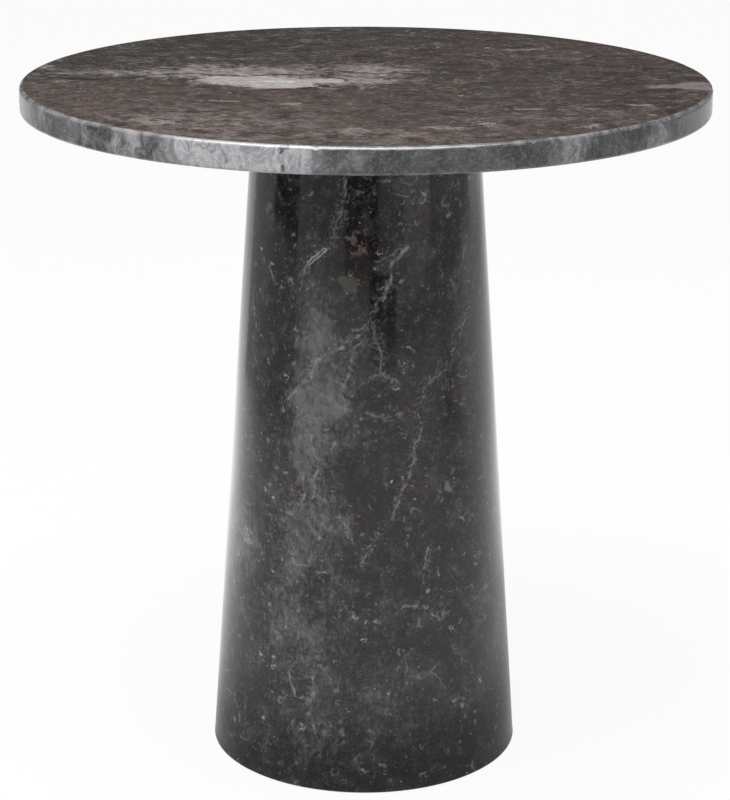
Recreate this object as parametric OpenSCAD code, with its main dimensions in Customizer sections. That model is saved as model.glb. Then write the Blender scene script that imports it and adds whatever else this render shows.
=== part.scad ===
// Round pedestal table: a solid stone disc on a hollow, tapered stone pedestal.
// A tie rod pulls the two together, and four levelling feet hide in the pedestal's foot.
// Millimetres, +Z up. The origin is on the floor, under the centre of the table.

/* [Table] */
// Height of the table from the floor
table_h = 760; // [700:5:820]
// Diameter of the stone top
top_d = 740; // [600:10:900]
// Thickness of the stone top
top_t = 28; // [24:1:40]
// Radius of the rounded upper edge of the top
top_upper_round = 4; // [2:0.5:7]
// Radius of the rounded lower edge of the top
top_lower_round = 3; // [1:0.5:6]

/* [Pedestal] */
// Diameter of the pedestal where it stands on the floor
foot_d = 345; // [310:5:400]
// Diameter of the pedestal where it meets the top
neck_d = 244; // [220:2:268]
// Thickness of the stone around the cored hole, at the neck
neck_wall = 27; // [22:1:34]
// Width of the ledge that the base plate pulls against
ledge_w = 20; // [14:1:24]
// Bevel around the bottom edge of the foot
foot_bevel = 2; // [1:0.5:4]
// Bevel around the upper edge of the neck
neck_bevel = 1; // [0.5:0.5:2]

/* [Soft seats] */
// Thickness of the rubber ring between pedestal and top
joint_gasket_t = 1.5; // [1:0.5:4]
// How far that ring stays inside the neck's edges
joint_gasket_inset = 3; // [1:0.5:6]
// Thickness of the felt ring under the foot
felt_t = 1.5; // [1:0.5:3]
// How far the felt ring stays inside the foot's edges
felt_inset = 1.5; // [1:0.5:3]
// Thickness of the cork ring between base plate and stone
base_gasket_t = 2; // [1:0.5:4]

/* [Fixing of the top] */
// Thickness of the steel plate under the top
top_plate_t = 6; // [4:1:10]
// Number of screws in the top plate
screw_count = 6; // [3:1:8]
// Distance of the screws from the edge of the top plate
screw_edge = 18; // [12:1:28]
// Thread diameter of the screws
screw_d = 8; // [6:0.5:10]
// Distance across the flats of the screw heads
screw_head_af = 13; // [11:0.5:17]
// Height of the screw heads
screw_head_h = 5.3; // [4:0.1:7]
// Thickness of the screws' washers
screw_washer_t = 1.6; // [1:0.2:3]
// Outer diameter of the screws' washers
screw_washer_d = 16; // [14:1:20]
// Wall of the threaded inserts set in the top
insert_wall = 2; // [1.5:0.25:3]
// Length of the threaded inserts set in the top
insert_l = 16; // [10:1:20]
// Height of the nylon ring that centres the pedestal on the top
centring_ring_h = 12; // [8:1:20]
// Wall of that nylon ring
centring_ring_t = 6.5; // [4:0.5:10]
// Diameter of the dowel pins that stop the top turning
dowel_d = 8; // [5:1:10]
// Length of the dowel pins
dowel_l = 26; // [20:1:32]

/* [Tie rod] */
// Diameter of the tie rod
rod_d = 12; // [10:1:14]
// Distance across the flats of the tie rod's nuts
rod_nut_af = 19; // [18:0.5:24]
// Height of the nut under the base plate
rod_nut_h = 10; // [8:1:14]
// Height of the thin nut that locks the rod's upper end
jam_nut_h = 6; // [4:1:10]
// Length of the long nut welded under the top plate
socket_l = 30; // [20:1:50]
// Width of the weld around the long nut
weld_w = 3; // [2:0.5:5]
// Thickness of the base plate
base_plate_t = 6; // [4:1:10]
// Outer diameter of the plate washer on the tie rod
plate_washer_d = 37; // [30:1:60]
// Thickness of the plate washer on the tie rod
plate_washer_t = 3; // [2:0.5:5]
// Outer diameter of the spring washer on the tie rod
spring_washer_d = 21; // [20:0.5:26]
// Thickness of the spring washer on the tie rod
spring_washer_t = 2.5; // [2:0.5:4]
// How far the tie rod stands out below its nut
rod_end_l = 3; // [1:0.5:6]
// Height of the tie rod's lower end above the floor
rod_floor_gap = 8; // [4:1:30]

/* [Levelling feet] */
// How far a levelling foot winds out
leveller_travel = 12; // [6:1:20]
// Length of thread that stays screwed in when a foot is wound out
thread_hold = 12; // [8:1:20]
// Thread diameter of the levelling feet
stud_d = 10; // [8:1:12]
// Distance across the flats of the hexagon on the levelling feet
stud_flange_af = 17; // [14:1:20]
// Thickness of that hexagon
stud_flange_h = 3.2; // [2:0.2:6]
// Wall of the inserts that the levelling feet screw into
stud_insert_wall = 3; // [2:0.5:5]
// Diameter of the nylon pads under the levelling feet
pad_d = 28; // [22:1:30]
// Height of the nylon pads
pad_h = 5; // [4:0.5:8]
// Diameter of the peg that holds a pad on its stud
peg_d = 8; // [6:1:10]
// Height of the wound-in pads above the floor
pad_rest_gap = 1; // [0.5:0.1:2]

/* [Hidden] */
$fn = 96;
lathe_fn = 180;       // sides of the two big turned stones

// Clearances
thread_gap = 0.05;    // radial, between a thread and what it screws into
glue_gap = 0.1;       // radial, around inserts and dowels set in stone
bolt_gap = 0.5;       // radial, around a bolt in a plate or washer
centring_gap = 0.3;   // radial, between the nylon ring and the cored hole
ring_gap = 0.2;       // radial, between the nylon ring and the top plate
plate_gap = 1;        // radial, between the base plate and its recess
pad_gap = 2;          // radial, between a pad and its pocket
flange_gap = 2;       // between a levelling foot's hexagon and its insert
end_gap = 1;          // between the end of a pin or screw and the end of its hole
cut = 1;              // how far a cut runs past the face that it opens

// Diameters and radii that follow
foot_r = foot_d / 2;
neck_r = neck_d / 2;
core_d = neck_d - 2 * neck_wall;
core_r = core_d / 2;
recess_d = core_d + 2 * ledge_w;
base_plate_d = recess_d - 2 * plate_gap;
centring_ring_d = core_d - 2 * centring_gap;
top_plate_d = centring_ring_d - 2 * (centring_ring_t + ring_gap);
screw_circle_r = top_plate_d / 2 - screw_edge;
dowel_circle_r = (core_r + neck_r) / 2;
insert_d = screw_d + 2 * (thread_gap + insert_wall);
stud_insert_d = stud_d + 2 * (thread_gap + stud_insert_wall);
pocket_d = pad_d + 2 * pad_gap;
leveller_circle_r = (recess_d / 2 + foot_r) / 2;

// Levels above the floor, in the foot
rod_bottom_z = rod_floor_gap;
rod_nut_z = rod_bottom_z + rod_end_l;
spring_washer_z = rod_nut_z + rod_nut_h;
plate_washer_z = spring_washer_z + spring_washer_t;
base_plate_z = plate_washer_z + plate_washer_t;
base_gasket_z = base_plate_z + base_plate_t;
ledge_z = base_gasket_z + base_gasket_t;
flange_z = pad_rest_gap + pad_h;
stud_z = flange_z + stud_flange_h;
pocket_z = stud_z + flange_gap;
stud_l = flange_gap + thread_hold + leveller_travel;
stud_insert_l = thread_hold + leveller_travel + end_gap;

// Levels above the floor, under the top
underside_z = table_h - top_t;
neck_z = underside_z - joint_gasket_t;
top_plate_z = underside_z - top_plate_t;
screw_seat_z = top_plate_z - screw_washer_t;
screw_l = screw_washer_t + top_plate_t + insert_l - end_gap;
socket_z = top_plate_z - socket_l;
jam_nut_z = socket_z - jam_nut_h;
rod_top_z = top_plate_z - end_gap;

// Small bevels and pegs
nut_bevel = 0.9;
flange_bevel = 0.5;
rod_bevel = 1;
pad_bevel = 1;
peg_h = pad_h / 2;
spring_slot = 2;
peg_gap = 0.05;

// Copies of a piece, equally spaced on a circle.
module around(circle_r, count) {
    for (i = [1 : count])
        rotate([0, 0, 360 * i / count])
            translate([circle_r, 0, 0])
                children();
}

// Places pieces at the four levelling feet, or at some of them.
module at_levellers(which = [1 : 4]) {
    for (i = which)
        rotate([0, 0, 90 * i - 45])
            translate([leveller_circle_r, 0, 0])
                children();
}

// A blind hole that goes up from a level.
module hole_up(d, depth, z) {
    translate([0, 0, z - cut])
        cylinder(d = d, h = depth + cut);
}

// A flat ring that stands on a level.
module ring(outer_d, inner_d, h, z) {
    translate([0, 0, z])
        difference() {
            cylinder(d = outer_d, h = h);
            translate([0, 0, -cut])
                cylinder(d = inner_d, h = h + 2 * cut);
        }
}

// A round bar with both ends bevelled.
module bevelled_bar(d, h, bevel) {
    r = d / 2;
    rotate_extrude()
        polygon([[0, 0], [r - bevel, 0], [r, bevel], [r, h - bevel], [r - bevel, h], [0, h]]);
}

// A hexagon across its flats, with both ends bevelled.
module hexagon(af, h, bevel = nut_bevel) {
    corner_d = af / cos(30);
    intersection() {
        cylinder(d = corner_d, h = h, $fn = 6);
        bevelled_bar(corner_d, h, bevel);
    }
}

// A hexagon nut with a clearance bore.
module nut(af, h, bore_d) {
    difference() {
        hexagon(af, h);
        translate([0, 0, -cut])
            cylinder(d = bore_d, h = h + 2 * cut);
    }
}

// The profile of the stone disc, with both edges rounded.
module top_profile() {
    r = top_d / 2;
    upper_z = top_t - top_upper_round;
    square([r - top_lower_round, upper_z]);
    translate([0, top_lower_round]) {
        square([r, upper_z - top_lower_round]);
        square([r - top_upper_round, top_t - top_lower_round]);
    }
    translate([r - top_lower_round, top_lower_round])
        circle(r = top_lower_round);
    translate([r - top_upper_round, upper_z])
        circle(r = top_upper_round);
}

// The stone disc, with blind holes in its underside.
module table_top() {
    color("dimgray")
        difference() {
            translate([0, 0, underside_z])
                rotate_extrude($fn = lathe_fn)
                    top_profile();
            around(screw_circle_r, screw_count)
                hole_up(insert_d + 2 * glue_gap, insert_l + end_gap, underside_z);
            around(dowel_circle_r, 2)
                hole_up(dowel_d + 2 * glue_gap, dowel_l / 2 + end_gap, underside_z);
        }
}

// Brass inserts bonded into the underside of the top.
module top_inserts() {
    color("goldenrod")
        around(screw_circle_r, screw_count)
            ring(insert_d, screw_d + 2 * thread_gap, insert_l, underside_z);
}

// The steel plate that the screws hold to the top.
module top_plate() {
    color("silver")
        difference() {
            translate([0, 0, top_plate_z])
                cylinder(d = top_plate_d, h = top_plate_t);
            around(screw_circle_r, screw_count)
                translate([0, 0, top_plate_z - cut])
                    cylinder(d = screw_d + 2 * bolt_gap, h = top_plate_t + 2 * cut);
        }
}

// Hexagon-head screws that hold the plate to the top.
module top_plate_screws() {
    color("lightgray")
        around(screw_circle_r, screw_count)
            translate([0, 0, screw_seat_z]) {
                cylinder(d = screw_d, h = screw_l);
                translate([0, 0, -screw_head_h])
                    hexagon(screw_head_af, screw_head_h);
            }
}

module top_plate_washers() {
    color("gainsboro")
        around(screw_circle_r, screw_count)
            ring(screw_washer_d, screw_d + 2 * bolt_gap, screw_washer_t, screw_seat_z);
}

// The nylon ring around the plate, which drops into the pedestal's cored hole.
module centring_ring() {
    color("whitesmoke")
        ring(centring_ring_d, top_plate_d + 2 * ring_gap, centring_ring_h,
            underside_z - centring_ring_h);
}

// The rubber ring that the top rests on.
module joint_gasket() {
    color("black")
        difference() {
            ring(neck_d - 2 * joint_gasket_inset, core_d + 2 * joint_gasket_inset,
                joint_gasket_t, neck_z);
            around(dowel_circle_r, 2)
                translate([0, 0, neck_z - cut])
                    cylinder(d = dowel_d + 2 * bolt_gap, h = joint_gasket_t + 2 * cut);
        }
}

// Two pins between pedestal and top, which stop the top turning.
module turn_dowels() {
    color("lightgray")
        around(dowel_circle_r, 2)
            translate([0, 0, underside_z - dowel_l / 2])
                cylinder(d = dowel_d, h = dowel_l);
}

// The tapered stone pedestal, cored right through.
module pedestal() {
    taper = (foot_r - neck_r) / (neck_z - felt_t);
    profile = [
        [0, felt_t],
        [foot_r - foot_bevel, felt_t],
        [foot_r - taper * foot_bevel, felt_t + foot_bevel],
        [neck_r + taper * neck_bevel, neck_z - neck_bevel],
        [neck_r - neck_bevel, neck_z],
        [0, neck_z]];
    dowel_hole_z = underside_z - dowel_l / 2 - end_gap;
    color("dimgray")
        difference() {
            rotate_extrude($fn = lathe_fn)
                polygon(profile);
            hole_up(core_d, table_h, felt_t);
            hole_up(recess_d, ledge_z - felt_t, felt_t);
            around(dowel_circle_r, 2)
                translate([0, 0, dowel_hole_z])
                    cylinder(d = dowel_d + 2 * glue_gap, h = neck_z - dowel_hole_z + cut);
            at_levellers() {
                hole_up(pocket_d, pocket_z - felt_t, felt_t);
                hole_up(stud_insert_d + 2 * glue_gap, stud_insert_l + end_gap, pocket_z);
            }
        }
}

// The long nut that the tie rod screws into, with the weld that holds it under the top plate.
module rod_socket() {
    corner_r = rod_nut_af / 2 / cos(30);
    color("silver")
        difference() {
            union() {
                translate([0, 0, socket_z])
                    hexagon(rod_nut_af, socket_l);
                translate([0, 0, top_plate_z - weld_w])
                    cylinder(r1 = corner_r, r2 = corner_r + weld_w, h = weld_w);
            }
            translate([0, 0, socket_z - cut])
                cylinder(d = rod_d + 2 * thread_gap, h = socket_l + 2 * cut);
        }
}

module rod_jam_nut() {
    color("lightgray")
        translate([0, 0, jam_nut_z])
            nut(rod_nut_af, jam_nut_h, rod_d + 2 * thread_gap);
}

// The rod that pulls the top down on the pedestal.
module tie_rod() {
    color("silver")
        translate([0, 0, rod_bottom_z])
            bevelled_bar(rod_d, rod_top_z - rod_bottom_z, rod_bevel);
}

// The cork ring that keeps the base plate off the stone.
module base_gasket() {
    color("peru")
        ring(base_plate_d, core_d + 2 * plate_gap, base_gasket_t, base_gasket_z);
}

// The steel disc in the foot that the tie rod pulls against.
module base_plate() {
    color("silver")
        ring(base_plate_d, rod_d + 2 * bolt_gap, base_plate_t, base_plate_z);
}

module rod_plate_washer() {
    color("gainsboro")
        ring(plate_washer_d, rod_d + 2 * bolt_gap, plate_washer_t, plate_washer_z);
}

// A washer that is split, so that it keeps the nut tight.
module rod_spring_washer() {
    color("gray")
        difference() {
            ring(spring_washer_d, rod_d + 2 * bolt_gap, spring_washer_t, spring_washer_z);
            translate([0, -spring_slot / 2, spring_washer_z - cut])
                cube([spring_washer_d, spring_slot, spring_washer_t + 2 * cut]);
        }
}

module rod_nut() {
    color("lightgray")
        translate([0, 0, rod_nut_z])
            nut(rod_nut_af, rod_nut_h, rod_d + 2 * thread_gap);
}

// The felt ring that the table stands on, with a hole around each levelling foot.
module felt_ring() {
    color("darkslategray")
        difference() {
            ring(foot_d - 2 * (foot_bevel + felt_inset), recess_d + 2 * felt_inset, felt_t, 0);
            at_levellers()
                translate([0, 0, -cut])
                    cylinder(d = pocket_d, h = felt_t + 2 * cut);
        }
}

// Brass inserts bonded into the foot for the levelling feet.
module leveller_inserts() {
    color("goldenrod")
        at_levellers()
            ring(stud_insert_d, stud_d + 2 * thread_gap, stud_insert_l, pocket_z);
}

// A levelling foot: a thread, a hexagon to turn it by, and a peg for its pad.
module leveller_stud(i) {
    color("silver")
        at_levellers([i]) {
            translate([0, 0, flange_z - peg_h])
                cylinder(d = peg_d, h = peg_h + cut);
            translate([0, 0, flange_z])
                hexagon(stud_flange_af, stud_flange_h, flange_bevel);
            translate([0, 0, stud_z - cut])
                cylinder(d = stud_d, h = stud_l + cut);
        }
}

// The nylon pad under a levelling foot.
module leveller_pad(i) {
    color("whitesmoke")
        at_levellers([i])
            translate([0, 0, pad_rest_gap])
                difference() {
                    bevelled_bar(pad_d, pad_h, pad_bevel);
                    translate([0, 0, pad_h - peg_h])
                        cylinder(d = peg_d + 2 * peg_gap, h = peg_h + cut);
                }
}

table_top();
top_inserts();
top_plate();
top_plate_screws();
top_plate_washers();
centring_ring();
joint_gasket();
turn_dowels();
pedestal();
rod_socket();
rod_jam_nut();
tie_rod();
base_gasket();
base_plate();
rod_plate_washer();
rod_spring_washer();
rod_nut();
felt_ring();
leveller_inserts();
leveller_stud(1);  // leveller_stud_1
leveller_stud(2);  // leveller_stud_2
leveller_stud(3);  // leveller_stud_3
leveller_stud(4);  // leveller_stud_4
leveller_pad(1);  // leveller_pad_1
leveller_pad(2);  // leveller_pad_2
leveller_pad(3);  // leveller_pad_3
leveller_pad(4);  // leveller_pad_4
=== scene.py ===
"""A round pedestal table of dark, polished, veined stone, in a pale studio.

Metres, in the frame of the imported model: +Z up, the origin on the floor under the table's
centre, the front towards -Y. Angles round the table grow to the right, from 0 at the front.
Colours are linear.
"""
import math
import random
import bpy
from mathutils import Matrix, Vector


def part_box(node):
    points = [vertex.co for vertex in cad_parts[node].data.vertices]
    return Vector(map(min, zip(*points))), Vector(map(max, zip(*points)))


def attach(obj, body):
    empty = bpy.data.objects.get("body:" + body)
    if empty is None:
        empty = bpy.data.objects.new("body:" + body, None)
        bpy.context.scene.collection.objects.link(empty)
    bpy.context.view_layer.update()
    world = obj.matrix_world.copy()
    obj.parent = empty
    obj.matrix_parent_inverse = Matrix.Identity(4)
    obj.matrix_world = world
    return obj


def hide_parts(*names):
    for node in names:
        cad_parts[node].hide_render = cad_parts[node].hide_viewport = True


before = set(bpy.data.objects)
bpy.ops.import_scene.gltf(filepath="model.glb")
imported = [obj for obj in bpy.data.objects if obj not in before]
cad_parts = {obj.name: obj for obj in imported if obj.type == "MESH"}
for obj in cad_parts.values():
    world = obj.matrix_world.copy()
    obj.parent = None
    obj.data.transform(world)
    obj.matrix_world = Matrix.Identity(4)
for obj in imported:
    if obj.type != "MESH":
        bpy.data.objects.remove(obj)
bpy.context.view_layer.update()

from types import SimpleNamespace

import bmesh
import bpy
from mathutils import Matrix, Vector, noise

# ---- sizes of the table

top_low, top_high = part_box("table_top")
ped_low, ped_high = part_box("pedestal")
insert_low, insert_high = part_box("leveller_inserts")
_, gasket_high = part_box("base_gasket")

TOP_R = top_high[0]
TOP_Z = top_high[2]
UNDERSIDE_Z = top_low[2]
MIDDLE_Z = (TOP_Z + UNDERSIDE_Z) / 2
UPPER_ROUND = 0.004
LOWER_ROUND = 0.003
UPPER_STEPS = 7
LOWER_STEPS = 5
SHOULDER = 0.0006  # a narrow ring beside a rounded edge, which keeps the flat's shading even
TOP_SEGMENTS = 1080
TOP_SHARP = 50  # degrees
EASED = 0.00012  # how unevenly the rounded edges are eased
EASED_CIRCLE = 9  # the circle through the noise that goes round an edge
CHIPS = 34
CHIP_SEED = 7
CHIP_HALF_WIDTH = (0.0015, 0.005)
CHIP_DEPTH = (0.0001, 0.0005)
CHIPS_ABOVE = 0.65  # their share in the upper edge

FOOT_R = 0.1725
NECK_R = 0.122
CORE_R = 0.095
RECESS_R = 0.115
FOOT_Z = ped_low[2]
NECK_Z = ped_high[2]
LEDGE_Z = gasket_high[2]
FOOT_BEVEL = 0.002
FOOT_STEPS = 5
NECK_BEVEL = 0.001
NECK_STEPS = 3
SIDE_FROM, SIDE_TO = 0.0045, 0.998  # shares of the height, between the two bevels
SIDE_ROWS = 48
SIDE_WANDER = 0.00006  # how far the turned side is out of true
SIDE_CIRCLE = 1.6
SIDE_WAVES = 9  # per metre of height
PEDESTAL_SEGMENTS = 360
PEDESTAL_SHARP = 40  # degrees
BACK_FROM = 0.34  # the sine of the angle at which the pedestal's back begins

LEVELLERS = range(1, 5)
POCKET_R = 0.016
POCKET_Z = insert_low[2]
INSERT_HOLE_R = 0.00815
INSERT_HOLE_Z = insert_high[2] + 0.001
CUT_PAST = 0.002  # how far a cutter starts below the foot
CUT_SEGMENTS = 64

# ---- sizes of the studio

FLOOR_R = 30.0
FLOOR_CORNERS = 128
FLOOR_GREY = 0.86  # where it takes the light
FLOOR_WHITE = 0.92  # how much of it glows, for rays that see the background
FLOOR_TONE_R = 4.2
FLOOR_TONE_Z = 0.0006
FLOOR_TONE_CORNERS = 48
WORLD_LIGHT = 0.55
LAMP_PLACE = (-0.5, -0.8, 3.2)
LAMP_AIM = (0, 0, 0.6)
LAMP_SIDE = 2.2
LAMP_WATTS = 95
PANEL_X = (-2.8, 1.75)
PANEL_Y = (-3.4, -0.6)
PANEL_Z = 3.4
PANEL_GLOW = 14

SENSOR = 36  # millimetres
LENS = 115.6  # millimetres
CAMERA_BACK = 2.740
CAMERA_UP = 1.2366
CAMERA_TILT = 0.2966  # down, in radians
CAMERA_ROLL = 0.0034  # radians


def cone_r(z):
    """Radius of the pedestal's outside at a height."""
    return FOOT_R + (NECK_R - FOOT_R) * (z - FOOT_Z) / (NECK_Z - FOOT_Z)


def around(angle, distance, z=0.0):
    """A place at an angle and a distance from the table's axis."""
    a = math.radians(angle)
    return distance * math.sin(a), -distance * math.cos(a), z


# ---- meshes

def link(name, data, materials=()):
    """Puts a mesh, a lamp or a camera in the scene."""
    obj = bpy.data.objects.new(name, data)
    bpy.context.scene.collection.objects.link(obj)
    for material in materials:
        data.materials.append(material)
    return obj


def arc(r, z, radius, start, end, steps):
    """Points of an arc in a lathe profile, about (r, z), in degrees."""
    angles = [math.radians(start + (end - start) * i / steps) for i in range(steps + 1)]
    return [(r + radius * math.cos(a), z + radius * math.sin(a)) for a in angles]


def turned(angle, r, z):
    """A point (r, z), turned about Z."""
    return r * math.cos(angle), r * math.sin(angle), z


def turned_rings(bm, profile, segments, shape):
    """Rings of vertices, one for each point of a profile. A point on the axis gives one vertex."""
    rings = []
    for index, (r, z) in enumerate(profile):
        if r < 1e-6:
            rings.append([bm.verts.new((0, 0, z))])
            continue
        ring = []
        for i in range(segments):
            angle = 2 * math.pi * i / segments
            point = shape(angle, index, r, z) if shape else (r, z)
            ring.append(bm.verts.new(turned(angle, *point)))
        rings.append(ring)
    return rings


def lathe(name, profile, segments, closed=False, shape=None, pick=None, materials=()):
    """Turns a profile of (r, z) points about Z. shape moves a point: (angle, index, r, z) to
    (r, z). pick chooses a face's material: (index, angle) to a number."""
    bm = bmesh.new()
    rings = turned_rings(bm, profile, segments, shape)
    pairs = list(zip(rings, rings[1:] + ([rings[0]] if closed else [])))
    for index, (low, high) in enumerate(pairs):
        for i in range(segments):
            j = (i + 1) % segments
            corners = [low[i % len(low)], low[j % len(low)],
                high[j % len(high)], high[i % len(high)]]
            face = bm.faces.new(list(dict.fromkeys(corners)))
            face.smooth = True
            face.material_index = pick(index, 2 * math.pi * (i + 0.5) / segments) if pick else 0
    bmesh.ops.recalc_face_normals(bm, faces=bm.faces)
    mesh = bpy.data.meshes.new(name)
    bm.to_mesh(mesh)
    bm.free()
    return link(name, mesh, materials)


def cut_away(obj, cutters):
    """Cuts the cutters out of obj, with exact arithmetic, and deletes them."""
    for cutter in cutters:
        modifier = obj.modifiers.new("cut", "BOOLEAN")
        modifier.operation = "DIFFERENCE"
        modifier.solver = "EXACT"
        modifier.object = cutter
        modifier.material_mode = "TRANSFER"
    bpy.context.view_layer.update()
    evaluated = obj.evaluated_get(bpy.context.evaluated_depsgraph_get())
    result = bpy.data.meshes.new_from_object(evaluated)
    obj.modifiers.clear()
    obj.data = result
    for cutter in cutters:
        bpy.data.objects.remove(cutter)


# ---- material graphs

class Tree:
    """A node tree, built with short calls. Lengths in it are metres."""

    def __init__(self, owner):
        owner.use_nodes = True
        self.tree = owner.node_tree

    def put(self, socket, value):
        if isinstance(value, bpy.types.NodeSocket):
            self.tree.links.new(value, socket)
        else:
            socket.default_value = value

    def node(self, kind, inputs=(), **settings):
        node = self.tree.nodes.new("ShaderNode" + kind)
        for key, value in settings.items():
            setattr(node, key, value)
        for key, value in dict(inputs).items():
            self.put(node.inputs[key], value)
        return node

    def math(self, operation, a, b=0, clamp=False):
        return self.node("Math", {0: a, 1: b}, operation=operation, use_clamp=clamp).outputs[0]

    def add(self, a, b):
        return self.math("ADD", a, b)

    def minus(self, a, b):
        return self.math("SUBTRACT", a, b)

    def times(self, a, b):
        return self.math("MULTIPLY", a, b)

    def off(self, value, level):
        """How far a value is from a level, either way."""
        return self.math("ABSOLUTE", self.minus(value, level))

    def fold(self, operation, values):
        """Joins values one after the other with the same operation."""
        result = values[0]
        for value in values[1:]:
            result = self.math(operation, result, value)
        return result

    def most(self, *values):
        return self.fold("MAXIMUM", values)

    def least(self, *values):
        return self.fold("MINIMUM", values)

    def all(self, patch, table):
        """The strongest of the patches in a table."""
        return self.most(*(patch(*row) for row in table))

    def spread(self, patch, table, operation="MAXIMUM"):
        """The same, or their sum. The last number of each row is the patch's strength."""
        return self.fold(operation, [patch(*row) if strength == 1
            else self.times(patch(*row), strength) for *row, strength in table])

    def vector(self, operation, a, b=(0, 0, 0), scale=1):
        node = self.node("VectorMath", {0: a, 1: b}, operation=operation)
        if operation == "SCALE":
            self.put(node.inputs["Scale"], scale)
        is_number = operation in ("DOT_PRODUCT", "LENGTH", "DISTANCE")
        return node.outputs["Value" if is_number else "Vector"]

    def stretch(self, place, factors):
        return self.vector("MULTIPLY", place, factors)

    def xyz(self, place):
        return self.node("SeparateXYZ", {"Vector": place}).outputs

    def join(self, x, y, z):
        return self.node("CombineXYZ", {0: x, 1: y, 2: z}).outputs[0]

    def channels(self, colour):
        return self.node("SeparateColor", {"Color": colour}).outputs

    def noise(self, place, size, detail=2.0, roughness=0.5, distortion=0, colour=False):
        """Noise whose features are about size metres across. 0 to 1, around 0.5."""
        node = self.node("TexNoise", {"Vector": place, "Scale": 1 / size, "Detail": detail,
            "Roughness": roughness, "Distortion": distortion})
        return node.outputs["Color" if colour else "Fac"]

    def cells(self, place, size):
        """Voronoi cells about size metres across. Its distances are in cells."""
        return self.node("TexVoronoi", {"Vector": place, "Scale": 1 / size}).outputs

    def warp(self, place, *waves):
        """Shifts a place by noise: each wave is (size, how far), both in metres."""
        for size, shift in waves:
            wave = self.noise(place, size, 2, colour=True)
            wave = self.vector("SUBTRACT", wave, (0.5, 0.5, 0.5))
            place = self.vector("ADD", place, self.vector("SCALE", wave, scale=2 * shift))
        return place

    def rise(self, value, low, high, to_low=0, to_high=1):
        """Goes smoothly from to_low at low to to_high at high."""
        return self.node("MapRange", {"Value": value, "From Min": low, "From Max": high,
            "To Min": to_low, "To Max": to_high}, interpolation_type="SMOOTHSTEP").outputs[0]

    def mix(self, amount, a, b, blend="MIX"):
        """Mixes two colours. 0, 6, 7 and 2 are the node's sockets for them."""
        node = self.node("Mix", data_type="RGBA", blend_type=blend)
        self.put(node.inputs[0], amount)
        for socket, value in ((node.inputs[6], a), (node.inputs[7], b)):
            self.put(socket, (*value, 1) if isinstance(value, tuple) else value)
        return node.outputs[2]

    def lay(self, ground, colour, value, low, high, share):
        """Lays a colour over the ground, more where a value is near high, up to a share."""
        return self.mix(self.rise(value, low, high, 0, share), ground, colour)

    def bump(self, height, depth, strength=1, **normal):
        """A normal from a height of 0 to 1 that stands for depth metres."""
        return self.node("Bump",
            {"Height": height, "Distance": depth, "Strength": strength, **normal}).outputs[0]

    def blob(self, place, centre, radii, turn=0):
        """1 at centre, falling off smoothly to 0 at about twice the radii, turned about Z in
        degrees."""
        offset = self.vector("SUBTRACT", place, centre)
        if turn:
            offset = self.node("VectorRotate", {"Vector": offset, "Angle": math.radians(-turn)},
                rotation_type="Z_AXIS").outputs[0]
        offset = self.stretch(offset, tuple(1 / r for r in radii))
        distance = self.vector("LENGTH", offset)
        return self.math("POWER", math.e ** -1, self.times(distance, distance))

    def line(self, place, points):
        """Distance in metres from a line through points."""
        distances = []
        for a, b in zip(points, points[1:]):
            a, run = Vector(a), Vector(b) - Vector(a)
            offset = self.vector("SUBTRACT", place, tuple(a))
            share = self.vector("DOT_PRODUCT", offset, tuple(run / run.length_squared))
            share = self.math("ADD", share, clamp=True)
            nearest = self.vector("SCALE", tuple(run), scale=share)
            distances.append(self.vector("DISTANCE", offset, nearest))
        return self.least(*distances)


class Graph(Tree):
    """A material."""

    def __init__(self, name):
        self.material = bpy.data.materials.new(name)
        super().__init__(self.material)
        self.shader = self.tree.nodes["Principled BSDF"]
        self.place = self.node("TexCoord").outputs["Object"]

    def set(self, **values):
        """Sets the shader's sockets: base_color is Base Color, and so on."""
        names = {s.name.lower().replace(" ", "_"): s for s in self.shader.inputs}
        for key, value in values.items():
            self.put(names[key], value)

    def from_axis(self):
        """Distance from the table's axis."""
        return self.vector("LENGTH", self.stretch(self.place, (1, 1, 0)))

    def show(self, node):
        """Makes the material show another shader."""
        self.tree.nodes.remove(self.shader)
        self.put(self.tree.nodes["Material Output"].inputs["Surface"], node.outputs[0])


# ---- the stones

class Face:
    """Colours of the top's face."""
    back = (0.044, 0.0395, 0.0355)
    middle = (0.057, 0.0435, 0.0405)
    cloudy = (0.032, 0.0262, 0.0243)
    front = (0.088, 0.067, 0.063)
    front_middle = (0.11, 0.088, 0.083)
    swirl_dark = (0.0205, 0.0162, 0.015)
    swirl_pale = (0.118, 0.095, 0.09)
    crumb_dark = (0.0165, 0.0135, 0.0125)
    crumb_pale = (0.185, 0.154, 0.146)
    dash_dark = (0.015, 0.0125, 0.0115)
    dash_pale = (0.185, 0.16, 0.15)
    hues = ((0.935, 1.03, 0.9), (1.08, 0.97, 0.97))
    pinkish = (0.255, 0.212, 0.203)
    bits = (0.25, 0.225, 0.215)
    wedge = ((0.17, 0.145, 0.138), (0.26, 0.225, 0.215))
    veil = ((0.19, 0.166, 0.158), (0.345, 0.307, 0.296))
    core = ((0.315, 0.292, 0.282), (0.47, 0.445, 0.435))
    crack = (0.012, 0.01, 0.01)
    flash = (0.66, 0.64, 0.63)
    flecks = (0.33, 0.295, 0.285)
    # pale wear on the rounded edges, and also a painted highlight on them
    wear_and_sheen = (0.26, 0.25, 0.248)
    grain = (0.14, 0.13, 0.125)


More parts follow.
